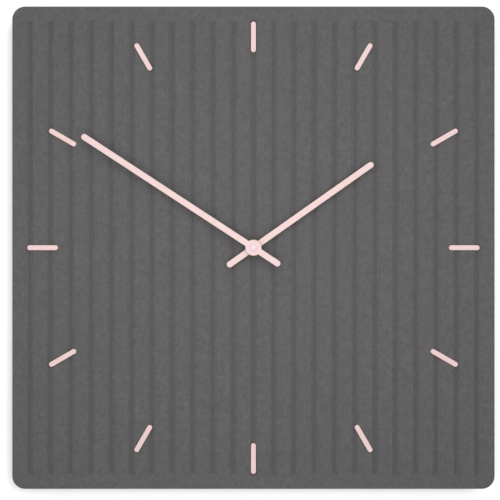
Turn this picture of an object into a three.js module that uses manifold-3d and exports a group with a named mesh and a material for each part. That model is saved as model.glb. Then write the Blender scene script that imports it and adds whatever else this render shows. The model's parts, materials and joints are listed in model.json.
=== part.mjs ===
// A square wall clock: a hollow-backed moulded case with a ribbed face, raised hour markers, two bar
// hands, and a battery quartz movement with its motor, going train, slipping clutch and motion work.
// Millimetres, +Z up. The dial faces -Y, the wall is the plane y = 0, and the origin is the point of the
// wall on the hands' axis. Every wheel turns about a line along Y.
import * as THREE from "three";
import { mergeVertices } from "three/addons/utils/BufferGeometryUtils.js";
import Module from "manifold-3d";

const wasm = await Module();
wasm.setup();

// ---- driving dimensions ----
const CASE = { size: 300, corner: 8, depth: 24, wall: 5, panel: 5, innerCorner: 5 };
const PAD = { radius: 7, thickness: 2, fromCentre: 137, postRadius: 9 };
const GROOVE = { count: 23, pitch: 12.67, width: 3.1, depth: 1, halfLength: 141 };
const RIB = { lines: [-100, -50, 50, 100], width: 2.4, height: 3.5 };
const MARKER = { length: 19.1, width: 3.15, height: 1.6, squareRadius: 131, otherRadius: 136.9 };
const HAND = { width: 3.85, thickness: 1 };
const HOUR_HAND = { tip: 90.8, tail: 19.9, hub: 4.6, rise: 3.2, angle: 54.8 };
const MINUTE_HAND = { tip: 126.8, tail: 19.6, hub: 4.9, rise: 6.2, angle: 303.2 };
const POST = { radius: 4, bore: 2.85, rise: 2.9, panelHole: 4.3 };
const NUT = { radius: 5.4, height: 1.9, chamfer: 0.5, bore: 4.15 };
const WASHER = { radius: 5.2, thickness: 0.4 };
const CAP = { radius: 2.4, rim: 0.25, dome: 0.6, pegRadius: 0.6, pegLength: 1.2 };
const GASKET = { radius: 9, thickness: 1 };
const BRACKET = { width: 18, thickness: 1, foot: -11, shelf: 30.5, top: 46, fromRim: 1.5 };
const NAIL_HOLE = { width: 10, low: 33.5, side: 4 };
const MOVEMENT = { size: 56, corner: 2, depth: 15.5, wall: 1.4, split: 8 };
const BATTERY = { radius: 7.25, length: 50.5, nub: 1.2, nubRadius: 2.7, z: -19.3, depth: 8.5 };
const BAY = { low: -26.8, high: -11.8, halfWidth: 26.8, floor: 1, partition: 1 };
const FIT = 0.1; // clearance between parts that sit against each other
const GRID = 1e-4; // vertices lie on this grid, so faces meant to be level are level

// Where the layers lie, measured back from the movement's front face.
const LEVEL = {
  hourWheel: [1.6, 2.4],
  motion: [2.8, 3.6],
  clutch: [3.7, 4],
  centreWheel: [4.1, 4.9],
  thirdPinion: [3.9, 5.6],
  thirdWheel: [5.5, 6.3],
  trainPlate: [6.8, 7.8],
  secondsPinion: [5.3, 8.2],
  secondsWheel: [8.1, 8.9],
  middlePinion: [8.0, 9.5],
  middleWheel: [9.4, 10.2],
  rotorPinion: [9.2, 10.4],
  rotorMagnet: [10.5, 12.5],
  core: [9.6, 10.6],
  stator: [10.7, 11.9],
  leads: [13, 13.4],
  board: [12.9, 13.9],
  coverInside: [14.1, 15.5],
  knob: [13.6, 16.3],
  thirdArbor: [2.7, 7.6],
  secondsArbor: [-11.4, 13.3],
  middleArbor: [7, 13.3],
  rotorArbor: [7, 13.4],
};

// Distances along Y.
const RIM_Y = -PAD.thickness;
const FACE_Y = RIM_Y - CASE.depth;
const PANEL_BACK_Y = FACE_Y + CASE.panel;
const BRACKET_Y = PANEL_BACK_Y + GASKET.thickness;
const MOVEMENT_Y = BRACKET_Y + BRACKET.thickness;
const behind = (depth) => MOVEMENT_Y + depth;

// Wheels: teeth and module. Each pair's modules give it the centre distance it runs at.
const SECONDS_PINION = { teeth: 8, module: 0.3 };
const THIRD_WHEEL = { teeth: 60, module: 0.3 };
const THIRD_PINION = { teeth: 8, module: (0.3 * 68) / 72 };
const CENTRE_WHEEL = { teeth: 64, module: (0.3 * 68) / 72 };
const MIDDLE_PINION = { teeth: 8, module: 0.35 };
const SECONDS_WHEEL = { teeth: 40, module: 0.35 };
const ROTOR_PINION = { teeth: 8, module: 0.28 };
const MIDDLE_WHEEL = { teeth: 48, module: 0.28 };
const CANNON_PINION = { teeth: 12, module: 0.35 };
const MOTION_WHEEL = { teeth: 36, module: 0.35 };
const SETTING_PINION = { teeth: 12, module: 0.35 };
const MOTION_PINION = { teeth: 10, module: (0.35 * 48) / 50 };
const HOUR_WHEEL = { teeth: 40, module: (0.35 * 48) / 50 };

const centreDistance = (a, b) => (a.module * a.teeth + b.module * b.teeth) / 2;

// Axis places in the X-Z plane, each a centre distance away from its neighbour's axis.
const degrees = THREE.MathUtils.degToRad;
const step = (from, distance, angle) => [
  from[0] + distance * Math.cos(angle),
  from[1] + distance * Math.sin(angle),
];
const BEARING = {
  third: degrees(60),
  middle: degrees(150),
  rotor: degrees(100),
  motion: degrees(-25),
  setting: degrees(20),
};
const CENTRE = [0, 0];
const THIRD = step(CENTRE, centreDistance(SECONDS_PINION, THIRD_WHEEL), BEARING.third);
const MIDDLE = step(CENTRE, centreDistance(MIDDLE_PINION, SECONDS_WHEEL), BEARING.middle);
const ROTOR = step(MIDDLE, centreDistance(ROTOR_PINION, MIDDLE_WHEEL), BEARING.rotor);
const MOTION = step(CENTRE, centreDistance(CANNON_PINION, MOTION_WHEEL), BEARING.motion);
const SETTING = step(MOTION, centreDistance(MOTION_WHEEL, SETTING_PINION), BEARING.setting);

// ---- solids ----
function solid(geometry) {
  const bare = geometry.clone();
  bare.deleteAttribute("normal");
  bare.deleteAttribute("uv");
  bare.attributes.position.array.forEach((value, i, array) => {
    array[i] = Math.round(value / GRID) * GRID;
  });
  const merged = mergeVertices(bare);
  return new wasm.Manifold(
    new wasm.Mesh({
      numProp: 3,
      vertProperties: merged.attributes.position.array,
      triVerts: new Uint32Array(merged.index.array),
    }),
  );
}

function geometryOf(manifold) {
  const mesh = manifold.getMesh();
  const geometry = new THREE.BufferGeometry();
  geometry.setAttribute("position", new THREE.BufferAttribute(mesh.vertProperties, 3));
  geometry.setIndex(new THREE.BufferAttribute(mesh.triVerts, 1));
  geometry.computeVertexNormals();
  return geometry;
}

const join = (...pieces) => geometryOf(pieces.map(solid).reduce((a, b) => a.add(b)));
const cut = (piece, ...tools) =>
  geometryOf(tools.map(solid).reduce((a, b) => a.subtract(b), solid(piece)));

function box([x0, x1], [y0, y1], [z0, z1]) {
  const geometry = new THREE.BoxGeometry(x1 - x0, y1 - y0, z1 - z0);
  return geometry.translate((x0 + x1) / 2, (y0 + y1) / 2, (z0 + z1) / 2);
}

// A shape drawn in X and Z, given thickness from y0 to y1.
function plate(shape, [y0, y1], curveSegments = 4) {
  const geometry = new THREE.ExtrudeGeometry(shape, { depth: y1 - y0, bevelEnabled: false, curveSegments });
  return geometry.rotateX(Math.PI / 2).translate(0, y1, 0);
}

function rod(radius, [y0, y1], [x, z] = CENTRE, segments = 24) {
  const geometry = new THREE.CylinderGeometry(radius, radius, y1 - y0, segments);
  return geometry.translate(x, (y0 + y1) / 2, z);
}

// A body of revolution about Y. Its outline is a list of [radius, y], from low y to high y on the outside.
function turned(outline, segments = 24) {
  return new THREE.LatheGeometry(outline.map(([r, y]) => new THREE.Vector2(r, y)), segments);
}

const ring = (outer, inner, [y0, y1], segments = 24) =>
  turned([[inner, y0], [outer, y0], [outer, y1], [inner, y1], [inner, y0]], segments);

function roundedSquare(size, radius) {
  const half = size / 2;
  const inner = half - radius;
  const shape = new THREE.Shape();
  shape.moveTo(half, -inner);
  shape.absarc(inner, inner, radius, 0, Math.PI / 2);
  shape.absarc(-inner, inner, radius, Math.PI / 2, Math.PI);
  shape.absarc(-inner, -inner, radius, Math.PI, 1.5 * Math.PI);
  shape.absarc(inner, -inner, radius, 1.5 * Math.PI, 2 * Math.PI);
  return shape;
}

// A bar with round ends along Z.
function bar(width, low, high) {
  const r = width / 2;
  const shape = new THREE.Shape();
  shape.absarc(0, high - r, r, 0, Math.PI);
  shape.absarc(0, low + r, r, Math.PI, 2 * Math.PI);
  return shape;
}

// ---- wheels ----
// A tooth's flank, as [reach from the pitch circle in modules, share of the pitch from the tooth's middle].
const TOOTH = [[-1.15, -0.27], [0.7, -0.1], [0.7, 0.1], [-1.15, 0.27]];

function toothed({ teeth, module }, phase, level, bore = 0) {
  const pitch = (2 * Math.PI) / teeth;
  const radius = (module * teeth) / 2;
  const outline = [];
  for (let tooth = 0; tooth < teeth; tooth += 1) {
    for (const [reach, share] of TOOTH) {
      const place = step(CENTRE, radius + reach * module, phase + (tooth + share) * pitch);
      outline.push(new THREE.Vector2(...place));
    }
  }
  const shape = new THREE.Shape(outline);
  if (bore) shape.holes.push(new THREE.Path().absarc(0, 0, bore, 0, 2 * Math.PI, true));
  return plate(shape, level.map(behind), 8);
}

// The phase that puts a driven wheel's gap on the driver's tooth, on the line between their centres.
function meshed(driver, driverPhase, driven, bearing) {
  return bearing + Math.PI - Math.PI / driven.teeth + (driver.teeth / driven.teeth) * (bearing - driverPhase);
}

const thirdWheelPhase = meshed(SECONDS_PINION, 0, THIRD_WHEEL, BEARING.third);
const centreWheelPhase = meshed(THIRD_PINION, 0, CENTRE_WHEEL, BEARING.third + Math.PI);
const secondsWheelPhase = meshed(MIDDLE_PINION, 0, SECONDS_WHEEL, BEARING.middle + Math.PI);
const middleWheelPhase = meshed(ROTOR_PINION, 0, MIDDLE_WHEEL, BEARING.rotor + Math.PI);
const motionWheelPhase = meshed(CANNON_PINION, 0, MOTION_WHEEL, BEARING.motion);
const settingPinionPhase = meshed(MOTION_WHEEL, motionWheelPhase, SETTING_PINION, BEARING.setting);
const hourWheelPhase = meshed(MOTION_PINION, 0, HOUR_WHEEL, BEARING.motion + Math.PI);

const ARBOR = 0.5;
const PIVOT_HOLE = 0.75;
const arbor = (level, radius = ARBOR) => rod(radius, level.map(behind), CENTRE, 12);

function thirdWheel() {
  return join(
    toothed(THIRD_WHEEL, thirdWheelPhase, LEVEL.thirdWheel),
    toothed(THIRD_PINION, 0, LEVEL.thirdPinion),
    arbor(LEVEL.thirdArbor),
  );
}

function secondsWheel() {
  return join(
    toothed(SECONDS_WHEEL, secondsWheelPhase, LEVEL.secondsWheel),
    toothed(SECONDS_PINION, 0, LEVEL.secondsPinion),
    arbor(LEVEL.secondsArbor),
  );
}

function middleWheel() {
  return join(
    toothed(MIDDLE_WHEEL, middleWheelPhase, LEVEL.middleWheel),
    toothed(MIDDLE_PINION, 0, LEVEL.middlePinion),
    arbor(LEVEL.middleArbor),
  );
}

const rotorPinion = () => join(toothed(ROTOR_PINION, 0, LEVEL.rotorPinion), arbor(LEVEL.rotorArbor));
const rotorMagnet = () => ring(2.5, 0.6, LEVEL.rotorMagnet.map(behind));
const centreWheel = () => toothed(CENTRE_WHEEL, centreWheelPhase, LEVEL.centreWheel, 1.4);
const clutchWasher = () => ring(3.6, 1.35, LEVEL.clutch.map(behind), 20);

function motionWheel() {
  const [front] = LEVEL.hourWheel;
  return join(
    toothed(MOTION_WHEEL, motionWheelPhase, LEVEL.motion, 0.9),
    toothed(MOTION_PINION, 0, [front, LEVEL.motion[0] + FIT], 0.9),
  );
}

function settingKnob() {
  const knobY = LEVEL.knob.map(behind);
  const ridges = 24;
  const grip = { teeth: ridges, module: 0.5 };
  const shaft = arbor([1.7, LEVEL.knob[0] + FIT], 1.2);
  const disc = toothed(grip, 0, LEVEL.knob);
  const slot = box([-4, 4], [knobY[1] - 0.8, knobY[1] + 1], [-0.6, 0.6]);
  return cut(join(toothed(SETTING_PINION, settingPinionPhase, LEVEL.motion), shaft, disc), slot);
}

// The minute arbor is a tube with the cannon pinion and a neck that carries the centre wheel.
function minuteArbor() {
  const tip = FACE_Y - MINUTE_HAND.rise - HAND.thickness;
  const pinionBack = behind(LEVEL.motion[1]);
  const neckBack = behind(LEVEL.secondsPinion[0] - 2 * FIT);
  return join(
    ring(1.6, 0.85, [tip, pinionBack]),
    ring(1.2, 0.85, [pinionBack - 1, neckBack]),
    toothed(CANNON_PINION, 0, LEVEL.motion, 1),
  );
}

function hourWheel() {
  const tip = FACE_Y - HOUR_HAND.rise - HAND.thickness;
  return join(
    ring(2.6, 1.9, [tip, behind(LEVEL.hourWheel[1])]),
    toothed(HOUR_WHEEL, hourWheelPhase, LEVEL.hourWheel, 2.2),
  );
}

// ---- hands and dial furniture ----
function hand({ tip, tail, hub, rise }, hole) {
  const y = [FACE_Y - rise - HAND.thickness, FACE_Y - rise];
  const blade = plate(bar(HAND.width, -tail, tip), y, 10);
  const through = [y[0] - 1, y[1] + 1];
  return cut(join(blade, rod(hub, y, CENTRE, 48)), rod(hole, through, CENTRE, 32));
}

// A domed button whose peg stands in the tip of the minute arbor.
function hubCap() {
  const seat = FACE_Y - MINUTE_HAND.rise - HAND.thickness;
  const { radius, rim, dome, pegRadius } = CAP;
  const pegEnd = seat + CAP.pegLength;
  const crown = [0, 15, 30, 50, 70].map((angle) => [
    radius * Math.sin(degrees(angle)),
    seat - rim - dome * Math.cos(degrees(angle)),
  ]);
  const flange = [[radius, seat - rim], [radius, seat], [pegRadius, seat]];
  return turned([...crown, ...flange, [pegRadius, pegEnd], [0, pegEnd]]);
}

function dialNut() {
  const back = FACE_Y - WASHER.thickness;
  const front = back - NUT.height;
  const { radius, chamfer, bore } = NUT;
  return turned(
    [
      [bore, front],
      [radius - chamfer, front],
      [radius, front + chamfer],
      [radius, back - chamfer],
      [radius - chamfer, back],
      [bore, back],
      [bore, front],
    ],
    36,
  );
}

const dialWasher = () => ring(WASHER.radius, NUT.bore, [FACE_Y - WASHER.thickness, FACE_Y]);
const gasket = () => ring(GASKET.radius, POST.panelHole, [PANEL_BACK_Y, BRACKET_Y]);

function marker() {
  const half = MARKER.length / 2;
  return plate(bar(MARKER.width, -half, half), [FACE_Y - MARKER.height, FACE_Y], 8);
}

// ---- case ----
function grooveCutters() {
  const first = -((GROOVE.count - 1) / 2) * GROOVE.pitch;
  return Array.from({ length: GROOVE.count }, (_, i) => {
    const x = first + i * GROOVE.pitch;
    return box(
      [x - GROOVE.width / 2, x + GROOVE.width / 2],
      [FACE_Y - 1, FACE_Y + GROOVE.depth],
      [-GROOVE.halfLength, GROOVE.halfLength],
    );
  });
}

// Stiffening ribs cross the back of the panel both ways, from wall to wall.
function panelRibs() {
  const reach = CASE.size / 2 - CASE.wall / 2;
  const y = [PANEL_BACK_Y - 1, PANEL_BACK_Y + RIB.height];
  return RIB.lines.flatMap((line) => {
    const across = [line - RIB.width / 2, line + RIB.width / 2];
    return [box(across, y, [-reach, reach]), box([-reach, reach], y, across)];
  });
}

// Four L-shaped guides hold the movement square.
function movementGuides() {
  const inner = MOVEMENT.size / 2 + 0.4;
  const outer = inner + 2;
  const gap = 14;
  const y = [PANEL_BACK_Y - 1, PANEL_BACK_Y + 6];
  const clear = [PANEL_BACK_Y, y[1] + 1];
  const span = (r) => [-r, r];
  return cut(
    box(span(outer), y, span(outer)),
    box(span(inner), clear, span(inner)),
    box(span(gap), clear, span(outer + 1)),
    box(span(outer + 1), clear, span(gap)),
  );
}

const cornerPlaces = (reach) => [[reach, reach], [-reach, reach], [-reach, -reach], [reach, -reach]];

function caseShell() {
  const outer = plate(roundedSquare(CASE.size, CASE.corner), [FACE_Y, RIM_Y], 8);
  const inner = roundedSquare(CASE.size - 2 * CASE.wall, CASE.innerCorner);
  const hollow = plate(inner, [PANEL_BACK_Y, RIM_Y + 1], 6);
  const postY = [PANEL_BACK_Y - 1, RIM_Y];
  const posts = cornerPlaces(PAD.fromCentre).map((place) => rod(PAD.postRadius, postY, place));
  const shaftHole = rod(POST.panelHole, [FACE_Y - 1, PANEL_BACK_Y + 1], CENTRE, 32);
  const tray = cut(outer, hollow);
  return cut(join(tray, ...posts, ...panelRibs(), movementGuides()), shaftHole, ...grooveCutters());
}

// A flat steel strip bent back over the movement to a tab near the wall, with an arched nail hole.
function hangerBracket() {
  const t = BRACKET.thickness;
  const tabY = RIM_Y - BRACKET.fromRim;
  const across = [-BRACKET.width / 2, BRACKET.width / 2];
  const strip = join(
    box(across, [BRACKET_Y, BRACKET_Y + t], [BRACKET.foot, BRACKET.shelf]),
    box(across, [BRACKET_Y, tabY + t], [BRACKET.shelf - t, BRACKET.shelf]),
    box(across, [tabY, tabY + t], [BRACKET.shelf - t, BRACKET.top]),
  );
  const half = NAIL_HOLE.width / 2;
  const nailHole = new THREE.Shape();
  nailHole.moveTo(-half, NAIL_HOLE.low);
  nailHole.lineTo(half, NAIL_HOLE.low);
  nailHole.absarc(0, NAIL_HOLE.low + NAIL_HOLE.side, half, 0, Math.PI);
  return cut(
    strip,
    plate(nailHole, [tabY - 1, tabY + t + 1], 6),
    rod(POST.panelHole, [BRACKET_Y - 1, BRACKET_Y + t + 1]),
  );
}

const pad = () => rod(PAD.radius, [RIM_Y, 0]);

// ---- movement ----
const MOVEMENT_OUTLINE = roundedSquare(MOVEMENT.size, MOVEMENT.corner);
const INSIDE = MOVEMENT.size / 2 - MOVEMENT.wall;
const CHAMBER_LOW = BAY.high + BAY.partition;

// The wheel chamber and the battery bay, as tools that hollow a half of the movement's casing.
function chamber([front, back]) {
  return box([-INSIDE, INSIDE], [behind(front), behind(back)], [CHAMBER_LOW, INSIDE]);
}

function bay([front, back]) {
  return box([-BAY.halfWidth, BAY.halfWidth], [behind(front), behind(back)], [BAY.low, BAY.high]);
}

// Notches at both ends of the partition let the battery leads through.
function leadNotches([front, back]) {
  const z = [BAY.high - FIT, CHAMBER_LOW + FIT];
  return [[-INSIDE, -25.4], [25.4, INSIDE]].map((x) => box(x, [behind(front), behind(back)], z));
}

// A post from its root to its free end, where a blind hole opens.
function bearingPost([root, free], place, radius, hole) {
  const bottom = free + (root - free) * 0.6;
  const outside = free + Math.sign(free - root);
  const between = (a, b) => [behind(Math.min(a, b)), behind(Math.max(a, b))];
  return cut(rod(radius, between(root, free), place, 16), rod(hole, between(bottom, outside), place, 12));
}

const TRAIN_PLATE = {
  x: [-22, 19],
  z: [-10.2, 17.4],
  posts: [[-20, -8.4], [17, -8.4], [-20, 15.4], [17, 15.4]],
};

function movementHousing() {
  const floor = MOVEMENT.wall;
  const inFloor = floor - 0.5;
  const half = plate(MOVEMENT_OUTLINE, [MOVEMENT_Y, behind(MOVEMENT.split - FIT)]);
  const shell = cut(
    half,
    chamber([floor, MOVEMENT.split]),
    bay([BAY.floor, MOVEMENT.split]),
    ...leadNotches([floor, MOVEMENT.split]),
  );
  const threadedPost = rod(POST.radius, [FACE_Y - POST.rise, behind(inFloor)], CENTRE, 32);
  const motionStud = rod(0.65, [behind(inFloor), behind(LEVEL.centreWheel[0] - 2 * FIT)], MOTION, 12);
  const thirdPost = bearingPost([inFloor, 3.7], THIRD, 1.3, PIVOT_HOLE);
  const settingPost = bearingPost([inFloor, 2.5], SETTING, 2, 1.4);
  const platePosts = TRAIN_PLATE.posts.map((place) =>
    rod(1.6, [behind(inFloor), behind(LEVEL.trainPlate[0] - FIT)], place, 12),
  );
  const bore = rod(POST.bore, [FACE_Y - POST.rise - 1, behind(floor + 1)], CENTRE, 32);
  return cut(join(shell, threadedPost, motionStud, thirdPost, settingPost, ...platePosts), bore);
}

function trainPlate() {
  const y = LEVEL.trainPlate.map(behind);
  const through = [y[0] - 1, y[1] + 1];
  const pivots = [THIRD, MIDDLE, ROTOR].map((place) => rod(PIVOT_HOLE, through, place, 12));
  return cut(
    box(TRAIN_PLATE.x, y, TRAIN_PLATE.z),
    rod(2, through),
    rod(1.5, through, SETTING, 16),
    ...pivots,
  );
}

function movementCover() {
  const [inside, back] = LEVEL.coverInside;
  const front = MOVEMENT.split;
  const recess = { radius: 7.1, floor: 13.3, wall: 1.2 };
  const shell = cut(
    plate(MOVEMENT_OUTLINE, [behind(front), behind(back)]),
    chamber([front - 1, inside]),
    bay([front - 1, back + 1]),
    ...leadNotches([front - 1, inside]),
  );
  const cupY = [behind(recess.floor - recess.wall), behind(inside + 0.5)];
  const cup = rod(recess.radius + recess.wall, cupY, SETTING);
  const posts = [CENTRE, MIDDLE].map((place) => bearingPost([inside + 0.5, 12], place, 1.3, PIVOT_HOLE));
  const rotorPost = bearingPost([inside + 0.5, 12.7], ROTOR, 1.3, PIVOT_HOLE);
  return cut(
    join(shell, cup, ...posts, rotorPost),
    rod(recess.radius, [behind(recess.floor), behind(back + 1)], SETTING),
    rod(1.4, [behind(recess.floor - 2), behind(back)], SETTING, 16),
  );
}

function alongX(geometry, x, z, depth) {
  return geometry.rotateZ(-Math.PI / 2).translate(x, behind(depth), z);
}

// The cell lies across the bottom of the movement with its raised end towards +X.
function battery() {
  const { radius, length, nub, nubRadius } = BATTERY;
  const bevel = 0.6;
  const shoulder = length - nub;
  const profile = [
    [0, 0],
    [radius - bevel, 0],
    [radius, bevel],
    [radius, shoulder - bevel],
    [radius - bevel, shoulder],
    [nubRadius, shoulder],
    [nubRadius, length],
    [0, length],
  ];
  return alongX(turned(profile, 24), -24.7, BATTERY.z, BATTERY.depth);
}

// The contacts are bent from sheet: a plate at each end of the bay, and a lead that runs up behind the cover.
const CONTACT = { thickness: 0.4, plateZ: [-25, -13], foot: -13.1, leadZ: [-10.6, -9.3] };

function contactPlate(x) {
  const lead = LEVEL.leads.map(behind);
  const plateY = [behind(3), lead[1]];
  const across = [x, x + CONTACT.thickness];
  return { across, lead, plate: box(across, plateY, CONTACT.plateZ) };
}

// The negative contact carries a coiled cone that presses on the cell, and its lead crosses to the board.
function contactNegative() {
  const { across, lead, plate: endPlate } = contactPlate(-26.6);
  const [leadLow, leadHigh] = CONTACT.leadZ;
  const farSide = [24.2, 25.2];
  const cone = [[0, 0], [4, 0], [2.2, 1.4], [0, 1.4]];
  return join(
    endPlate,
    box(across, lead, [CONTACT.foot, leadHigh]),
    box([across[0], farSide[1]], lead, CONTACT.leadZ),
    box(farSide, lead, [leadHigh - FIT, leadLow + 19.2]),
    alongX(turned(cone, 16), across[1] - FIT, BATTERY.z, BATTERY.depth),
  );
}

function contactPositive() {
  const { across, lead, plate: endPlate } = contactPlate(26);
  return join(endPlate, box(across, lead, [CONTACT.foot, 22]));
}

const BOARD = { x: [13.6, 25.7], z: [9, 26.2] };
const circuitBoard = () => box(BOARD.x, LEVEL.board.map(behind), BOARD.z);

function chipBlob() {
  const back = behind(LEVEL.board[0]);
  const dome = [[0, back - 1], [1.4, back - 0.9], [2.4, back - 0.5], [2.8, back], [0, back]];
  return turned(dome, 20).translate(18, 0, 14);
}

function quartzCrystal() {
  const can = new THREE.CylinderGeometry(1.4, 1.4, 7, 16);
  return can.rotateX(Math.PI / 2).translate(23, behind(LEVEL.board[0]) - 1.5, 19.5);
}

const COIL = { x: [-16, 8], z: 22.6, depth: 10.1, flange: 3.8, flangeWidth: 1, winding: 3.2, tube: 1.9 };
const CORE = { halfWidth: 1.2, overhang: 4 };

// The core's extent along Z, with a margin for the slot that it slides into.
function coreSpan(margin) {
  const reach = CORE.halfWidth + margin;
  return [COIL.z - reach, COIL.z + reach];
}

function coilBobbin() {
  const { x, flange, flangeWidth, tube } = COIL;
  const length = x[1] - x[0];
  const profile = [
    [0, 0],
    [flange, 0],
    [flange, flangeWidth],
    [tube, flangeWidth],
    [tube, length - flangeWidth],
    [flange, length - flangeWidth],
    [flange, length],
    [0, length],
  ];
  const spool = alongX(turned(profile, 20), x[0], COIL.z, COIL.depth);
  const slotY = [behind(LEVEL.core[0] - FIT), behind(LEVEL.core[1] + FIT)];
  const slot = box([x[0] - 1, x[1] + 1], slotY, coreSpan(FIT));
  return cut(spool, slot);
}

function coilWinding() {
  const { x, flangeWidth, winding, tube } = COIL;
  const length = x[1] - x[0] - 2 * (flangeWidth + FIT);
  const inner = tube + FIT;
  const profile = [[inner, 0], [winding, 0], [winding, length], [inner, length], [inner, 0]];
  return alongX(turned(profile, 20), x[0] + flangeWidth + FIT, COIL.z, COIL.depth);
}

const CORE_ENDS = [COIL.x[0] - CORE.overhang, COIL.x[1] + CORE.overhang];
const coilCore = () => box(CORE_ENDS, LEVEL.core.map(behind), coreSpan(0));

// The stator: one plate that rings the rotor and reaches up on both sides to the ends of the coil's core.
function stator() {
  const y = LEVEL.stator.map(behind);
  const [left, right] = CORE_ENDS;
  const leg = 4;
  const top = COIL.z + 1.6;
  const yoke = 4.5;
  const rotorHole = 3;
  const rotorRing = 5;
  const [rotorX, rotorZ] = ROTOR;
  const shape = new THREE.Shape();
  shape.moveTo(left, top);
  shape.lineTo(left, rotorZ - 2);
  shape.absarc(rotorX, rotorZ, rotorRing, Math.PI, 2 * Math.PI);
  shape.lineTo(right, rotorZ);
  shape.lineTo(right, top);
  shape.lineTo(right - leg, top);
  shape.lineTo(right - leg, rotorZ + yoke);
  shape.lineTo(left + leg, rotorZ + yoke);
  shape.lineTo(left + leg, top);
  shape.holes.push(new THREE.Path().absarc(rotorX, rotorZ, rotorHole, 0, 2 * Math.PI, true));
  return plate(shape, y, 8);
}

// ---- colours and assembly ----
const finish = (color, roughness, metalness = 0) =>
  new THREE.MeshStandardMaterial({ color, roughness, metalness });
const FINISH = {
  composite: finish(0x626161, 0.85),
  blush: finish(0xf2d6d4, 0.45),
  brass: finish(0xc9a45a, 0.3, 1),
  steel: finish(0xb8babd, 0.35, 1),
  rubber: finish(0x1d1d1f, 0.9),
  blackPlastic: finish(0x1b1b1d, 0.5),
  whitePlastic: finish(0xe9e6dc, 0.5),
  greyPlastic: finish(0x77797c, 0.5),
  copper: finish(0xb5602f, 0.35, 1),
  board: finish(0x2c5a3a, 0.6),
  magnet: finish(0x3a3a3e, 0.5, 0.6),
  cell: finish(0x30343a, 0.35, 0.3),
};

function mesh(name, geometry, material, [x, z] = CENTRE) {
  const part = new THREE.Mesh(geometry, material);
  part.name = name;
  part.position.set(x, 0, z);
  return part;
}

function group(...parts) {
  const holder = new THREE.Group();
  holder.add(...parts);
  return holder;
}

function markers() {
  return Array.from({ length: 12 }, (_, i) => {
    const hour = i + 1;
    const reach = hour % 3 === 0 ? MARKER.squareRadius : MARKER.otherRadius;
    const arm = group(mesh(`marker_${String(hour).padStart(2, "0")}`, marker(), FINISH.blush, [0, reach]));
    arm.rotation.y = degrees(30 * hour);
    return arm;
  });
}

function turnedTo(angle, ...parts) {
  const holder = group(...parts);
  holder.rotation.y = degrees(angle);
  return holder;
}

const caseGroup = group(
  mesh("case_shell", caseShell(), FINISH.composite),
  mesh("hanger_bracket", hangerBracket(), FINISH.steel),
  mesh("gasket", gasket(), FINISH.rubber),
  mesh("dial_washer", dialWasher(), FINISH.steel),
  mesh("dial_nut", dialNut(), FINISH.brass),
  ...cornerPlaces(PAD.fromCentre).map((place, i) => mesh(`pad_${i + 1}`, pad(), FINISH.rubber, place)),
  ...markers(),
);

const movementGroup = group(
  mesh("movement_housing", movementHousing(), FINISH.blackPlastic),
  mesh("train_plate", trainPlate(), FINISH.greyPlastic),
  mesh("movement_cover", movementCover(), FINISH.blackPlastic),
  mesh("battery", battery(), FINISH.cell),
  mesh("contact_negative", contactNegative(), FINISH.steel),
  mesh("contact_positive", contactPositive(), FINISH.steel),
  mesh("circuit_board", circuitBoard(), FINISH.board),
  mesh("chip_blob", chipBlob(), FINISH.blackPlastic),
  mesh("quartz_crystal", quartzCrystal(), FINISH.steel),
  mesh("coil_bobbin", coilBobbin(), FINISH.whitePlastic),
  mesh("coil_winding", coilWinding(), FINISH.copper),
  mesh("coil_core", coilCore(), FINISH.steel),
  mesh("stator", stator(), FINISH.steel),
);

const trainGroup = group(
  mesh("rotor_pinion", rotorPinion(), FINISH.whitePlastic, ROTOR),
  mesh("rotor_magnet", rotorMagnet(), FINISH.magnet, ROTOR),
  mesh("intermediate_wheel", middleWheel(), FINISH.whitePlastic, MIDDLE),
  mesh("seconds_wheel", secondsWheel(), FINISH.whitePlastic),
  mesh("third_wheel", thirdWheel(), FINISH.whitePlastic, THIRD),
  mesh("centre_wheel", centreWheel(), FINISH.whitePlastic),
  mesh("clutch_washer", clutchWasher(), FINISH.steel),
  mesh("minute_arbor", minuteArbor(), FINISH.whitePlastic),
  mesh("motion_wheel", motionWheel(), FINISH.whitePlastic, MOTION),
  mesh("hour_wheel", hourWheel(), FINISH.whitePlastic),
  mesh("setting_knob", settingKnob(), FINISH.whitePlastic, SETTING),
);

const handGroup = group(
  turnedTo(HOUR_HAND.angle, mesh("hour_hand", hand(HOUR_HAND, 2.7), FINISH.blush)),
  turnedTo(
    MINUTE_HAND.angle,
    mesh("minute_hand", hand(MINUTE_HAND, 1.7), FINISH.blush),
    mesh("hub_cap", hubCap(), FINISH.blush),
  ),
);

const clock = group(caseGroup, movementGroup, trainGroup, handGroup);

export default clock;
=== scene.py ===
"""The looks of a square wall clock, built around its CAD frame.

The clock hangs on a wall at y = 0 and its dial faces -Y. Everything is in metres. Each piece is a finer copy
of its CAD solid, or a finer shape built where that solid lies, and takes its place from the frame's boxes.
"""

import json
import math

import bmesh
import bpy
from mathutils import Matrix, Vector

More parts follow.
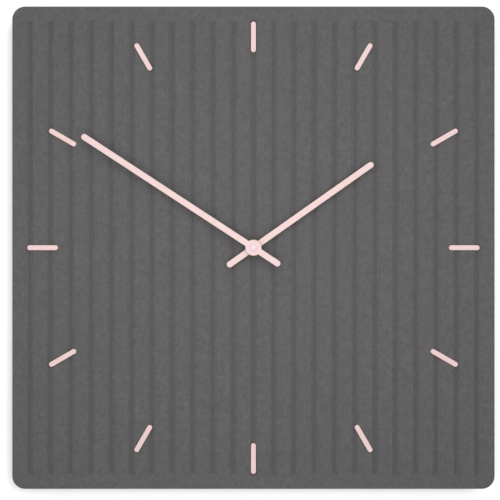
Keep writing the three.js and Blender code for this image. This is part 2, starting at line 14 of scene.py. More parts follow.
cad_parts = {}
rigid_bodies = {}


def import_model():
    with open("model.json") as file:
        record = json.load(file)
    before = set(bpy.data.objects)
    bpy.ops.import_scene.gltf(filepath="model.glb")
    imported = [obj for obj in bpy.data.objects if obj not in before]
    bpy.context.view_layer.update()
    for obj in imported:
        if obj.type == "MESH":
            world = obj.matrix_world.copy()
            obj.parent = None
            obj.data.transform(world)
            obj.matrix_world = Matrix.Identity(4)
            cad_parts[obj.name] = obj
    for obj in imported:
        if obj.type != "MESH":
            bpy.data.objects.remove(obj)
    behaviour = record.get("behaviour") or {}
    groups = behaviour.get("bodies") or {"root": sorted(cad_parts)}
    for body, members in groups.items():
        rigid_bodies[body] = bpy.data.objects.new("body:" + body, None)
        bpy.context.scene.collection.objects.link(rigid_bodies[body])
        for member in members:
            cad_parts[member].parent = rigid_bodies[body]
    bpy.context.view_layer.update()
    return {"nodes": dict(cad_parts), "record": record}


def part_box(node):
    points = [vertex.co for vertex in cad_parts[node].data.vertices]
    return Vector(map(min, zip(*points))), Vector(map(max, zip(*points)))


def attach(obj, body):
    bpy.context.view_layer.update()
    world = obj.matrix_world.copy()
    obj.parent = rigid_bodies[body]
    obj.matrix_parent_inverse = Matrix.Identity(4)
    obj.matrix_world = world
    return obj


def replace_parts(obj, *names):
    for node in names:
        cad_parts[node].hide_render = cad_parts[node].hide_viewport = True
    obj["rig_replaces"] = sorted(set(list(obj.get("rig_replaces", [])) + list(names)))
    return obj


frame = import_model()

MM = 0.001
NEAR = 0.05 * MM  # slack in telling which side of a level a corner lies on
WALL_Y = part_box("pad_1")[1].y
FACE_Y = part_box("marker_12")[1].y
CASE_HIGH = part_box("case_shell")[1]
BODY_OF = {node: body for body, members in frame["record"]["behaviour"]["bodies"].items() for node in members}
SLOT_OF = {part["node"]: part["material_slot"] for part in frame["record"]["subparts"]}


def middle(node):
    """The middle of a CAD node's box."""
    low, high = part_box(node)
    return (low + high) / 2


# ---- materials ----
class Finish:
    """One material's nodes. Textures take the piece's own coordinates, in metres."""

    def __init__(self, name, **constants):
        self.material = bpy.data.materials.new(name)
        self.material.use_nodes = True
        self.tree = self.material.node_tree
        self.shader = self.tree.nodes["Principled BSDF"]
        for socket, value in constants.items():
            self.shader.inputs[socket.replace("_", " ")].default_value = value
        self.place = self.add("ShaderNodeTexCoord").outputs["Object"]

    def add(self, kind, inputs=None, **settings):
        """A node with its settings, and its inputs as values or as sockets to link."""
        node = self.tree.nodes.new(kind)
        for key, value in settings.items():
            setattr(node, key, value)
        for key, value in (inputs or {}).items():
            if isinstance(value, bpy.types.NodeSocket):
                self.tree.links.new(value, node.inputs[key])
            else:
                node.inputs[key].default_value = value
        return node

    def stretched(self, factors):
        """The piece's coordinates scaled along each axis, for grain that runs one way."""
        return self.add("ShaderNodeMapping", {"Vector": self.place, "Scale": factors}).outputs["Vector"]

    def noise(self, size, detail=2.0, place=None, distortion=0.0):
        """Cloudy noise whose patches measure about size."""
        inputs = {"Vector": place or self.place, "Scale": 1 / size}
        inputs.update(Detail=detail, Distortion=distortion)
        return self.add("ShaderNodeTexNoise", inputs).outputs["Fac"]

    def cells(self, size):
        """Distance from the nearest of many scattered points that lie about size apart."""
        inputs = {"Vector": self.place, "Scale": 1 / size}
        return self.add("ShaderNodeTexVoronoi", inputs, feature="F1").outputs["Distance"]

    def remap(self, value, low, high, to_low=0.0, to_high=1.0):
        inputs = {"Value": value, "From Min": low, "From Max": high, "To Min": to_low, "To Max": to_high}
        return self.add("ShaderNodeMapRange", inputs).outputs["Result"]

    def math(self, operation, a, b):
        return self.add("ShaderNodeMath", {0: a, 1: b}, operation=operation).outputs["Value"]

    def mix(self, factor, a, b):
        """A colour between a and b."""
        node = self.add("ShaderNodeMix", data_type="RGBA")
        for socket, value in ((node.inputs[0], factor), (node.inputs[6], a), (node.inputs[7], b)):
            if isinstance(value, bpy.types.NodeSocket):
                self.tree.links.new(value, socket)
            else:
                socket.default_value = value if isinstance(value, float) else (*value, 1.0)
        return node.outputs[2]

    def worn(self, patch, amount):
        """How worn a rounded edge is, from 0 to 1, in patches of that size."""
        edge = self.add("ShaderNodeAttribute", attribute_name="wear").outputs["Fac"]
        patches = self.remap(self.noise(patch, 3.0), 0.45, 0.7, 0.0, amount)
        return self.math("MULTIPLY", edge, patches)

    def drive(self, socket, value):
        self.tree.links.new(value, self.shader.inputs[socket])

    def bump(self, height, depth, strength):
        inputs = {"Height": height, "Distance": depth, "Strength": strength}
        self.drive("Normal", self.add("ShaderNodeBump", inputs).outputs["Normal"])


def tint(colour, factor):
    return tuple(channel * factor for channel in colour)


def composite():
    """Fibre-filled moulding: matte, mottled and flecked, with painted shade that darkens the groove floors.
    """
    base = (0.1235, 0.1195, 0.1205)
    finish = Finish("case_composite", Specular_IOR_Level=0.3)
    clouds = finish.remap(finish.noise(0.045, 2.0), 0.3, 0.7)
    blotch = finish.remap(finish.noise(0.009, 3.0, distortion=0.8), 0.3, 0.7)
    mottle = finish.remap(finish.noise(0.0027, 5.0, distortion=0.6), 0.3, 0.7)
    fibres = finish.noise(0.0011, 2.0, finish.stretched((1.0, 1.0, 0.32)), 1.5)
    colour = finish.mix(mottle, tint(base, 0.76), tint(base, 1.23))
    colour = finish.mix(finish.remap(blotch, 0.0, 1.0, 0.0, 0.4), colour, (0.126, 0.131, 0.128))
    colour = finish.mix(finish.remap(blotch, 0.0, 1.0, 0.3, 0.0), colour, (0.124, 0.1125, 0.118))
    colour = finish.mix(finish.remap(clouds, 0.0, 1.0, 0.0, 0.3), colour, tint(base, 0.95))
    colour = finish.mix(finish.remap(fibres, 0.58, 0.76, 0.0, 0.8), colour, tint(base, 1.35))
    colour = finish.mix(finish.remap(finish.cells(0.0052), 0.13, 0.05, 0.0, 0.5), colour, tint(base, 1.5))
    colour = finish.mix(finish.remap(finish.cells(0.0071), 0.10, 0.04, 0.0, 0.6), colour, tint(base, 0.6))
    colour = finish.mix(finish.worn(0.004, 0.4), colour, tint(base, 1.25))
    # Painted shade: the groove floors are darkened with depth, standing in for the shade that falls in the
    # grooves.
    groove_shade = finish.add("ShaderNodeAttribute", attribute_name="groove_shade").outputs["Fac"]
    colour = finish.mix(finish.remap(groove_shade, 0.6, 1.0, 0.0, 0.75), colour, tint(base, 0.82))
    finish.drive("Base Color", colour)
    finish.drive("Roughness", finish.remap(mottle, 0.0, 1.0, 0.78, 0.92))
    grain = finish.math("ADD", finish.noise(0.0007, 3.0), finish.math("MULTIPLY", mottle, 0.8))
    finish.bump(grain, 0.00012, 0.45)
    return finish.material


def paint(name, base, roughness):
    """Satin paint with a faint orange peel, thinner and paler on the edges."""
    finish = Finish(name, Coat_Weight=0.15, Coat_Roughness=0.3)
    flow = finish.noise(0.006, 2.0)
    colour = finish.mix(finish.remap(flow, 0.3, 0.7), tint(base, 0.975), tint(base, 1.02))
    speck = finish.remap(finish.cells(0.004), 0.07, 0.03, 0.0, 0.35)
    colour = finish.mix(speck, colour, tint(base, 0.8))
    colour = finish.mix(finish.worn(0.003, 0.5), colour, (0.90, 0.78, 0.76))
    finish.drive("Base Color", colour)
    rough = finish.remap(finish.noise(0.002, 3.0), 0.3, 0.7, roughness - 0.06, roughness + 0.06)
    finish.drive("Roughness", rough)
    finish.bump(finish.noise(0.0016, 2.0), 0.00004, 0.25)
    return finish.material


def metal(name, base, roughness, grain, patch=0.004, tarnish=0.75):
    """Bare or plated metal with fine lines along the grain's long axis, and dull patches."""
    finish = Finish(name, Metallic=1.0)
    lines = finish.noise(0.00035, 2.0, finish.stretched(grain))
    dull = finish.remap(finish.noise(patch, 4.0), 0.4, 0.7)
    colour = finish.mix(dull, base, tint(base, tarnish))
    colour = finish.mix(finish.remap(lines, 0.4, 0.7, 0.0, 0.25), colour, tint(base, 0.7))
    colour = finish.mix(finish.worn(0.002, 0.6), colour, tint(base, 1.2))
    finish.drive("Base Color", colour)
    rough = finish.remap(dull, 0.0, 1.0, roughness, roughness + 0.15)
    streaks = finish.remap(lines, 0.3, 0.7, -0.05, 0.07)
    finish.drive("Roughness", finish.math("ADD", rough, streaks))
    finish.bump(lines, 0.00002, 0.3)
    return finish.material


def moulding(name, base, roughness, spark=0.0006, depth=0.00005):
    """Moulded plastic with a spark-eroded grain, faint flow clouds and rubbed edges."""
    finish = Finish(name, Specular_IOR_Level=0.5)
    flow = finish.remap(finish.noise(0.012, 2.0, distortion=1.0), 0.3, 0.7)
    colour = finish.mix(flow, tint(base, 0.9), tint(base, 1.1))
    pale = tuple(min(0.9, channel * 1.5 + 0.02) for channel in base)
    colour = finish.mix(finish.worn(0.002, 0.5), colour, pale)
    dust = finish.remap(finish.cells(0.0035), 0.06, 0.02, 0.0, 0.3)
    colour = finish.mix(dust, colour, tuple(channel * 0.5 + 0.12 for channel in base))
    finish.drive("Base Color", colour)
    rough = finish.remap(finish.noise(0.003, 4.0), 0.3, 0.7, roughness - 0.07, roughness + 0.07)
    finish.drive("Roughness", rough)
    finish.bump(finish.noise(spark, 2.0), depth, 0.6)
    return finish.material


def rubber():
    """Matte rubber with bloom in faint patches."""
    base = (0.021, 0.021, 0.022)
    finish = Finish("rubber", Specular_IOR_Level=0.3)
    bloom = finish.remap(finish.noise(0.003, 4.0), 0.45, 0.75, 0.0, 0.5)
    finish.drive("Base Color", finish.mix(bloom, base, (0.05, 0.05, 0.052)))
    finish.drive("Roughness", finish.remap(bloom, 0.0, 0.5, 0.75, 0.92))
    finish.bump(finish.noise(0.0005, 2.0), 0.00006, 0.6)
    return finish.material


def glossy_cap():
    """Glossy blush plastic, a touch cooler than the paint beside it."""
    base = (0.86, 0.66, 0.71)
    finish = Finish("cap_gloss", Coat_Weight=0.6, Coat_Roughness=0.08)
    clouds = finish.remap(finish.noise(0.002), 0.3, 0.7)
    finish.drive("Base Color", finish.mix(clouds, base, tint(base, 1.04)))
    finish.drive("Roughness", finish.remap(finish.noise(0.0008, 3.0), 0.3, 0.7, 0.2, 0.3))
    finish.bump(finish.noise(0.0012), 0.00002, 0.2)
    return finish.material


def sleeve(name, base):
    """The cell's printed plastic sleeve: glossy, with scuffs."""
    finish = Finish(name, Coat_Weight=0.5, Coat_Roughness=0.15)
    scuffs = finish.remap(finish.noise(0.0012, 4.0, finish.stretched((0.15, 1.0, 1.0))), 0.6, 0.75, 0.0, 0.5)
    finish.drive("Base Color", finish.mix(scuffs, base, tuple(channel * 0.7 + 0.12 for channel in base)))
    finish.drive("Roughness", finish.remap(scuffs, 0.0, 0.5, 0.28, 0.55))
    finish.bump(finish.noise(0.005, 2.0), 0.0001, 0.2)
    return finish.material


def board():
    """Solder resist with the weave of glass cloth below it."""
    base = (0.03, 0.12, 0.05)
    finish = Finish("solder_resist", Coat_Weight=0.4, Coat_Roughness=0.2)
    across = finish.add("ShaderNodeTexWave", {"Vector": finish.place, "Scale": 220.0}, bands_direction="X")
    along = finish.add("ShaderNodeTexWave", {"Vector": finish.place, "Scale": 220.0}, bands_direction="Z")
    weave = finish.math("MULTIPLY", across.outputs["Fac"], along.outputs["Fac"])
    finish.drive("Base Color", finish.mix(weave, base, tint(base, 1.3)))
    finish.drive("Roughness", finish.remap(finish.noise(0.002, 3.0), 0.3, 0.7, 0.35, 0.5))
    finish.bump(weave, 0.00003, 0.4)
    return finish.material


def winding():
    """Enamelled wire wound tight: ridges run round the coil, which lies along X, with painted shade in the
    gaps between the turns.
    """
    finish = Finish("copper_winding", Metallic=1.0)
    inputs = {"Vector": finish.place, "Scale": 1400.0, "Distortion": 0.4}
    turns = finish.add("ShaderNodeTexWave", inputs, bands_direction="X").outputs["Fac"]
    colour = finish.mix(finish.noise(0.002, 3.0), (0.66, 0.22, 0.08), (0.5, 0.14, 0.05))
    # Painted shade: the colour darkens to deep brown between the turns, where shade would fall.
    finish.drive("Base Color", finish.mix(turns, (0.3, 0.08, 0.03), colour))
    finish.drive("Roughness", finish.remap(turns, 0.0, 1.0, 0.5, 0.25))
    finish.bump(turns, 0.00006, 0.8)
    return finish.material


def floor_paint():
    """Plain pale matte floor, which the camera sees paler than it lights the clock."""
    finish = Finish("floor_paint", Roughness=0.95, Specular_IOR_Level=0.1)
    finish.drive("Base Color", finish.mix(finish.noise(0.6), (0.8, 0.8, 0.8), (0.785, 0.785, 0.785)))
    seen = finish.add("ShaderNodeLightPath").outputs["Is Camera Ray"]
    finish.shader.inputs["Emission Color"].default_value = (1.0, 1.0, 1.0, 1.0)
    finish.drive("Emission Strength", finish.math("MULTIPLY", seen, 0.38))
    return finish.material


FINISH = {
    "case": composite(),
    "marker": paint("marker_paint", (0.895, 0.652, 0.631), 0.42),
    "hands": paint("hand_paint", (0.897, 0.661, 0.644), 0.38),
    "cap": glossy_cap(),
    "brass": metal("turned_brass", (0.78, 0.66, 0.45), 0.28, (1.0, 0.08, 1.0), tarnish=0.8),
    "steel": metal("zinc_plate", (0.60, 0.61, 0.63), 0.34, (0.25, 1.0, 1.0), 0.006),
    "contact": metal("nickel_plate", (0.66, 0.65, 0.61), 0.22, (1.0, 1.0, 0.1)),
    "rubber": rubber(),
    "movement_plastic": moulding("black_moulding", (0.016, 0.016, 0.0172), 0.5),
    "grey_plastic": moulding("grey_moulding", (0.19, 0.2, 0.21), 0.5),
    "white_plastic": moulding("natural_acetal", (0.76, 0.73, 0.65), 0.38, 0.001, 0.00003),
    "battery": sleeve("cell_sleeve", (0.02, 0.11, 0.125)),
    "circuit_board": board(),
    "epoxy": moulding("potting_resin", (0.01, 0.01, 0.0105), 0.22, 0.002, 0.00006),
    "copper": winding(),
    "magnet": metal("sintered_magnet", (0.2, 0.2, 0.21), 0.45, (1.0, 1.0, 1.0), 0.0015),
}


# ---- shapes ----
def new_shape():
    shape = bmesh.new()
    shape.loops.layers.float.new("wear")
    shape.loops.layers.float.new("groove_shade")
    return shape


def cad_copy(node):
    """A CAD node's mesh with its flat triangles joined into whole faces."""
    shape = new_shape()
    shape.from_mesh(frame["nodes"][node].data)
    bmesh.ops.remove_doubles(shape, verts=shape.verts, dist=1e-6)
    flat = math.radians(1)
    bmesh.ops.dissolve_limit(shape, angle_limit=flat, verts=shape.verts, edges=shape.edges)
    return shape


def is_sharp(edge, limit=math.radians(40)):
    return len(edge.link_faces) == 2 and edge.calc_face_angle() > limit


def round_edges(shape, width, where=None, segments=3, clamp=True, limit=math.radians(40)):
    """Rounds the sharp edges that where picks, and marks the new faces as edges that wear."""
    edges = [edge for edge in shape.edges if is_sharp(edge, limit) and (where is None or where(edge))]
    made = bmesh.ops.bevel(
        shape,
        geom=edges,
        offset=width,
        offset_type="OFFSET",
        segments=segments,
        profile=0.5,
        affect="EDGES",
        clamp_overlap=clamp,
    )
    wear = shape.loops.layers.float["wear"]
    for face in made["faces"]:
        for loop in face.loops:
            loop[wear] = 1.0


def add_piece(name, shape, body, slot, *materials):
    """Makes the object, smooth except at its sharp edges, and lets it ride on its body."""
    bmesh.ops.recalc_face_normals(shape, faces=shape.faces)
    for face in shape.faces:
        face.smooth = True
    for edge in shape.edges:
        edge.smooth = not is_sharp(edge)
    mesh = bpy.data.meshes.new(name)
    shape.to_mesh(mesh)
    shape.free()
    for material in materials or (FINISH[slot],):
        mesh.materials.append(material)
    piece = bpy.data.objects.new(name, mesh)
    bpy.context.scene.collection.objects.link(piece)
    normals = piece.modifiers.new("normals", "WEIGHTED_NORMAL")
    normals.keep_sharp = True
    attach(piece, body)
    return piece


def replace(node, shape, *materials):
    """Stands a finer shape in a CAD node's place."""
    piece = add_piece(f"fine_{node}", shape, BODY_OF[node], SLOT_OF[node], *materials)
    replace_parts(piece, node)


def lathe(shape, outline, steps=96, closed=False, reach=None):
    """Turns an outline of (radius, y) about the Y axis. reach may vary a radius by angle."""
    rings = []
    for radius, y in outline:
        if radius < 1e-9:
            rings.append([shape.verts.new((0, y, 0))] * steps)
            continue
        ring = []
        for i in range(steps):
            angle = 2 * math.pi * i / steps
            r = reach(radius, angle) if reach else radius
            ring.append(shape.verts.new((r * math.cos(angle), y, r * math.sin(angle))))
        rings.append(ring)
    pairs = list(zip(rings, rings[1:]))
    if closed:
        pairs.append((rings[-1], rings[0]))
    for low, high in pairs:
        for i in range(steps):
            corners = [low[i], low[(i + 1) % steps], high[(i + 1) % steps], high[i]]
            unique = list(dict.fromkeys(corners))
            if len(unique) > 2:
                shape.faces.new(unique)


def arc(centre, radius, start, end, steps=6):
    """Points of an arc in the (radius, y) plane, with angles in degrees."""
    angles = [math.radians(start + (end - start) * i / steps) for i in range(steps + 1)]
    return [(centre[0] + radius * math.cos(a), centre[1] + radius * math.sin(a)) for a in angles]


def sweep(shape, path, radius, sides=10):
    """A round wire along a list of points, with closed ends."""
    rings = []
    for i, point in enumerate(path):
        ahead = path[min(i + 1, len(path) - 1)] - path[max(i - 1, 0)]
        turn = ahead.to_track_quat("Z", "Y")
        ring = []
        for k in range(sides):
            angle = 2 * math.pi * k / sides
            offset = Vector((radius * math.cos(angle), radius * math.sin(angle), 0))
            ring.append(shape.verts.new(point + turn @ offset))
        rings.append(ring)
    for low, high in zip(rings, rings[1:]):
        for k in range(sides):
            shape.faces.new((low[k], low[(k + 1) % sides], high[(k + 1) % sides], high[k]))
    shape.faces.new(rings[0][::-1])
    shape.faces.new(rings[-1])


def block(shape, low, high):
    """A box between two corners, added to the shape."""
    size = [b - a for a, b in zip(low, high)]
    centre = [(a + b) / 2 for a, b in zip(low, high)]
    place = Matrix.Translation(centre) @ Matrix.Diagonal((*size, 1.0))
    bmesh.ops.create_cube(shape, size=1.0, matrix=place)


# ---- case and dial ----
GROOVE = {
    "pitch": 12.67 * MM,
    "depth": 1 * MM,
    "half_length": 141 * MM,
    "brink_out": 0.55 * MM,
    "foot_in": 0.6 * MM,
}
GROOVE_DEEP = FACE_Y + 2 * MM  # between the grooves' floors and the back of the dial
UNDER_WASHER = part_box("dial_washer")[1].x - 0.3 * MM
CORNER = 8 * MM  # radius of the case's rounded corners


def on_outline(point):
    """True on the case's four outer sides and rounded corners."""
    near, far = sorted((abs(point.x), abs(point.z)))
    return far > CASE_HIGH.x - 0.1 * MM or near > CASE_HIGH.x - CORNER


def split_under_washer(shape):
    """Cuts the dial along two level lines that the washer hides, so the central groove can end there."""
    for z in (-UNDER_WASHER, UNDER_WASHER):
        faces = [face for face in shape.faces if all(v.co.y < GROOVE_DEEP for v in face.verts)]
        edges = {edge for face in faces for edge in face.edges}
        verts = {vert for face in faces for vert in face.verts}
        bmesh.ops.bisect_plane(shape, geom=[*verts, *edges, *faces], plane_co=(0, 0, z), plane_no=(0, 0, 1))


def in_groove(point):
    """True on the corners of the grooves, and not on the case's outline or the hole for the shaft."""
    return point.y < GROOVE_DEEP and not on_outline(point) and point.xz.length > UNDER_WASHER - 0.1 * MM


def splay_grooves(shape):
    """Slopes the grooves' walls and gives their level edges: each brink moves out and each foot moves in."""
    moves = {}
    for vert in shape.verts:
        if in_groove(vert.co):
            side = math.copysign(1, vert.co.x - round(vert.co.x / GROOVE["pitch"]) * GROOVE["pitch"])
            at_end = abs(vert.co.z) > GROOVE["half_length"] - NEAR
            at_brink = vert.co.y < FACE_Y + NEAR
            amount = GROOVE["brink_out"] if at_brink else -GROOVE["foot_in"]
            moves[vert] = Vector((side, 0, math.copysign(at_end, vert.co.z))) * amount
    rims = {edge for edge in shape.edges if all(v in moves for v in edge.verts)}
    for vert, move in moves.items():
        vert.co += move
    return {edge for edge in rims if abs(edge.verts[0].co.y - edge.verts[1].co.y) < NEAR}


def case():
    """The grooved dial and its hollow back, and how deep in a groove each point lies, which sets the painted
    shade in the grooves.
    """
    shape = cad_copy("case_shell")
    front = FACE_Y + NEAR
    back = CASE_HIGH.y - NEAR
    shallow = math.radians(20)

    def outer_front(edge):
        return all(v.co.y < front and on_outline(v.co) for v in edge.verts)

    def outer_back(edge):
        return all(v.co.y > back and on_outline(v.co) for v in edge.verts)

    split_under_washer(shape)
    rims = splay_grooves(shape)
    round_edges(shape, 0.45 * MM, lambda edge: edge in rims, segments=4, clamp=False, limit=shallow)
    round_edges(shape, 0.9 * MM, outer_front, segments=4)
    round_edges(shape, 0.5 * MM, outer_back)
    round_edges(shape, 0.3 * MM)
    # How deep in a groove each corner lies, for the painted shade on the groove floors.
    groove_shade = shape.loops.layers.float["groove_shade"]
    for face in shape.faces:
        if any(v.co.y > GROOVE_DEEP or on_outline(v.co) for v in face.verts):
            continue
        for loop in face.loops:
            loop[groove_shade] = min(max((loop.vert.co.y - FACE_Y) / GROOVE["depth"], 0.0), 1.0)
    replace("case_shell", shape)


def markers():
    for hour in range(1, 13):
        node = f"marker_{hour:02d}"
        shape = cad_copy(node)
        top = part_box(node)[0].y + NEAR
        round_edges(shape, 0.35 * MM, lambda edge: all(v.co.y < top for v in edge.verts))
        replace(node, shape)


def hands():
    for node in ("hour_hand", "minute_hand"):
        shape = cad_copy(node)
        round_edges(shape, 0.3 * MM)
        replace(node, shape)


def hub_cap():
    """A domed button on a short peg."""
    low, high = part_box("hub_cap")
    radius = high.x
    rim = 0.25 * MM
    lip_radius = 0.12 * MM
    peg_radius = 0.6 * MM
    peg_length = 1.2 * MM
    dome_steps = 12
    seat = high.y - peg_length
    brim = seat - rim
    angles = [math.radians(90 * i / dome_steps) for i in range(dome_steps)]
    dome = [(radius * math.sin(a), brim - (brim - low.y) * math.cos(a)) for a in angles]
    lip = arc((radius - lip_radius, seat - lip_radius), lip_radius, 0, 90, 4)
    peg = [(peg_radius, seat), (peg_radius, high.y), (0, high.y)]
    shape = new_shape()
    lathe(shape, [*dome, (radius, brim), *lip, *peg])
    replace("hub_cap", shape)


def dial_nut():
    """A round nut with a knurled rim between two chamfers."""
    low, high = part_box("dial_nut")
    outer = high.x
    bore = 4.15 * MM
    bore_lip = 0.3 * MM
    chamfer = 0.5 * MM
    ease_in, ease_back = 0.12 * MM, 0.15 * MM
    ridges, steps_per_ridge = 48, 8
    knurl_depth = 0.16 * MM

    def knurl(radius, angle):
        if radius < outer:
            return radius
        return outer - knurl_depth * abs(math.sin(ridges * angle / 2))

    outline = [
        (bore, low.y + bore_lip),
        (bore + bore_lip, low.y),
        (outer - chamfer - 0.25 * MM, low.y),
        (outer - chamfer, low.y + 0.08 * MM),
        (outer - ease_in, low.y + chamfer),
        (outer, low.y + chamfer + ease_back),
        (outer, high.y - chamfer - ease_back),
        (outer - ease_in, high.y - chamfer),
        (outer - chamfer, high.y),
        (bore, high.y),
    ]
    shape = new_shape()
    lathe(shape, outline, ridges * steps_per_ridge, closed=True, reach=knurl)
    replace("dial_nut", shape)


def rounded_ring(node, inner, edge):
    """A flat ring along Y with rounded outer edges, placed where its CAD node lies."""
    low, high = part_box(node)
    centre = middle(node)
    outer = (high.x - low.x) / 2
    outline = [
        (inner, low.y),
        *arc((outer - edge, low.y + edge), edge, -90, 0),
        *arc((outer - edge, high.y - edge), edge, 0, 90),
        (inner, high.y),
    ]
    shape = new_shape()
    lathe(shape, outline, closed=True)
    bmesh.ops.translate(shape, verts=shape.verts, vec=(centre.x, 0, centre.z))
    return shape


def pads():
    """Rubber feet, each with a ring-shaped groove in its face."""
    for number in range(1, 5):
        node = f"pad_{number}"
        low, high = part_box(node)
        centre = middle(node)
        outer = (high.x - low.x) / 2
        edge = 0.4 * MM
        floor = high.y - 0.35 * MM
        groove = [(3.4 * MM, high.y), (3.2 * MM, floor), (2.6 * MM, floor), (2.4 * MM, high.y)]
        outline = [
            (0, low.y),
            *arc((outer - edge / 2, low.y + edge / 2), edge / 2, -90, 0),
            *arc((outer - edge, high.y - edge), edge, 0, 90),
            *groove,
            (0, high.y),
        ]
        shape = new_shape()
        lathe(shape, outline, 72)
        bmesh.ops.translate(shape, verts=shape.verts, vec=(centre.x, 0, centre.z))
        replace(node, shape)


def shaft_thread():
    """The thread on the movement's post, in front of the nut."""
    nut_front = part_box("dial_nut")[0].y
    post_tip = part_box("movement_housing")[0].y
    radius = 3.98 * MM
    wire = 0.13 * MM
    pitch = 0.5 * MM
    steps_per_turn = 64
    turns = (nut_front - post_tip) / pitch - 0.6
    steps = round(turns * steps_per_turn)
    path = []
    for i in range(steps + 1):
        angle = 2 * math.pi * turns * i / steps
        y = post_tip + 0.3 * pitch + pitch * turns * i / steps
        path.append(Vector((radius * math.cos(angle), y, radius * math.sin(angle))))
    shape = new_shape()
    sweep(shape, path, wire, sides=8)
    add_piece("shaft_thread", shape, "case", "movement_plastic")


# ---- movement ----
COVER_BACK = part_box("movement_cover")[1].y
KNOB = middle("setting_knob")
SIGN_HEIGHT = 0.3 * MM  # of the arrow and the signs moulded on the cover
ROOT_DEPTH = 0.1 * MM  # how far below the cover's surface they start


def movement_shells():
    for node in ("movement_housing", "movement_cover"):
        shape = cad_copy(node)
        round_edges(shape, 0.35 * MM)
        replace(node, shape)


def raised(shape, outline, base, height):
    """A flat outline in X and Z raised from the plane y = base towards +Y, rooted a little below it."""
    bottom = [shape.verts.new((x, base - ROOT_DEPTH, z)) for x, z in outline]
    top = [shape.verts.new((x, base + height, z)) for x, z in outline]
    shape.faces.new(bottom)
    shape.faces.new(top[::-1])
    for i in range(len(outline)):
        j = (i + 1) % len(outline)
        shape.faces.new((bottom[i], top[i], top[j], bottom[j]))


def setting_arrow():
    """A raised arrow that runs part of the way round the setting knob."""
    radius, width, head = 9.4 * MM, 0.9 * MM, 1.6 * MM
    start, end, head_length = 62, 142, 15  # degrees
    steps = 16
    angles = [math.radians(start + (end - start) * i / steps) for i in range(steps + 1)]

    def at(r, angle):
        return KNOB.x + r * math.cos(angle), KNOB.z + r * math.sin(angle)

    tip = angles[-1] + math.radians(head_length)
    outline = [at(radius - width / 2, a) for a in angles]
    outline += [at(radius - head, angles[-1]), at(radius, tip), at(radius + head, angles[-1])]
    outline += [at(radius + width / 2, a) for a in reversed(angles)]
    shape = new_shape()
    raised(shape, outline, COVER_BACK, SIGN_HEIGHT)
    round_edges(shape, 0.1 * MM, segments=2)
    add_piece("setting_arrow", shape, "case", "movement_plastic")


def polarity_marks():
    """Raised plus and minus signs beside the two ends of the battery bay."""
    low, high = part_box("battery")
    inset = 2.6 * MM
    half, bar = 1.3 * MM, 0.3 * MM
    z = high.z + inset
    plus_x = high.x - inset
    minus_x = low.x + inset
    arm = [(-half, -bar), (-bar, -bar), (-bar, -half)]
    plus = []
    for _ in range(4):
        plus += [(plus_x + across, z + up) for across, up in arm]
        arm = [(-up, across) for across, up in arm]
    shape = new_shape()
    raised(shape, plus, COVER_BACK, SIGN_HEIGHT)
    root, top = COVER_BACK - ROOT_DEPTH, COVER_BACK + SIGN_HEIGHT
    block(shape, (minus_x - half, root, z - bar), (minus_x + half, top, z + bar))
    round_edges(shape, 0.08 * MM, segments=2)
    add_piece("polarity_marks", shape, "case", "movement_plastic")


def cover_clips():
    """Snap tongues on the movement's sides that hold the cover to the housing."""
    low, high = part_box("movement_cover")
    shape = new_shape()
    front, back = low.y - 2.5 * MM, high.y - 1.2 * MM
    half, proud, rooted = 3.5 * MM, 0.7 * MM, 0.2 * MM
    side_heights = (-20 * MM, 18 * MM)
    top_places = (-14 * MM, 14 * MM)
    for z in side_heights:
        for side in (low.x, high.x):
            outer = side + math.copysign(proud, side)
            x = sorted((side - math.copysign(rooted, side), outer))
            block(shape, (x[0], front, z - half), (x[1], back, z + half))
    for x in top_places:
        block(shape, (x - half, front, high.z - rooted), (x + half, back, high.z + proud))
    round_edges(shape, 0.25 * MM)
    add_piece("cover_clips", shape, "case", "movement_plastic")


def setting_knob():
    shape = cad_copy("setting_knob")
    round_edges(shape, 0.12 * MM, segments=2)
    replace("setting_knob", shape)


def hanger():
    shape = cad_copy("hanger_bracket")
    round_edges(shape, 0.22 * MM)
    replace("hanger_bracket", shape)


def battery():
    """A sleeved AA cell along X, with steel ends and a band near the raised end."""
    low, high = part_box("battery")
    centre = middle("battery")
    radius = (high.z - low.z) / 2
    length = high.x - low.x
    nub, nub_radius = 1.2 * MM, 2.7 * MM
    shoulder = length - nub
    roll = 0.5 * MM
    recess = 0.3 * MM
    base, base_edge = 0.15 * MM, 0.35 * MM
    band = (shoulder - 15 * MM, shoulder - 12 * MM)
    steel, sleeve_slot, pale = 0, 1, 2
    outline = [
        (0, base),
        (radius - 2.6 * MM, base),
        (radius - 2.2 * MM, base_edge),
        (radius - 1.2 * MM, base_edge),
        *arc((radius - roll, roll), roll, -90, 0, 5),
        (radius, band[0]),
        (radius, band[1]),
        *arc((radius - roll, shoulder - roll), roll, 0, 90, 5),
        (radius - 1.1 * MM, shoulder),
        (radius - 1.2 * MM, shoulder - recess),
        (nub_radius + 0.6 * MM, shoulder - recess),
        (nub_radius, shoulder),
        (nub_radius, length - 0.3 * MM),
        (nub_radius - 0.3 * MM, length),
        (0, length),
    ]
    shape = new_shape()
    lathe(shape, outline, 96)
    for face in shape.faces:
        place = face.calc_center_median()
        if place.xz.length < radius - 1.15 * MM:
            face.material_index = steel
        elif band[0] < place.y < band[1]:
            face.material_index = pale
        else:
            face.material_index = sleeve_slot
    along_x = Matrix.Translation((low.x, centre.y, centre.z)) @ Matrix.Rotation(-math.pi / 2, 4, "Z")
    bmesh.ops.transform(shape, matrix=along_x, verts=shape.verts)
    replace("battery", shape, FINISH["contact"], FINISH["battery"], sleeve("cell_band", (0.62, 0.63, 0.6)))


